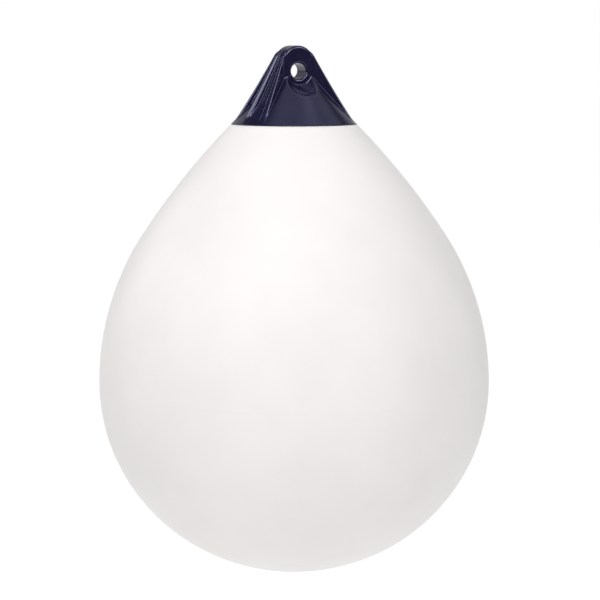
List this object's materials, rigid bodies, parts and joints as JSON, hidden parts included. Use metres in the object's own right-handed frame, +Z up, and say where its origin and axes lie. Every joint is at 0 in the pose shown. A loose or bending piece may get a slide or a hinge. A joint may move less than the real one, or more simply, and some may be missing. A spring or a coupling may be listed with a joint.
{
  "type": "pneumatic fender",
  "caption": "Teardrop inflatable fender buoy with a white vinyl body and a solid navy rope eye whose narrow sides carry radial ribs.",
  "frame": {"origin": "centre of the rope eye's bore", "axes": "+Y along the bore, +X along the lug's width, +Z up towards the top of the lug; the body hangs towards -Z"},
  "size_m": [0.6868, 0.6868, 0.9232],
  "materials": {
    "white_vinyl": "satin moulded soft vinyl",
    "navy_vinyl": "glossy solid moulded vinyl",
    "valve_vinyl": "moulded vinyl insert",
    "washer_rubber": "smooth black rubber",
    "screw_nylon": "moulded nylon"
  },
  "bodies": {
    "root": {"body": "white_vinyl", "rope_eye_head": "navy_vinyl", "valve_seat": "valve_vinyl", "sealing_washer": "washer_rubber", "valve_screw": "screw_nylon"}
  },
  "joints": []
}
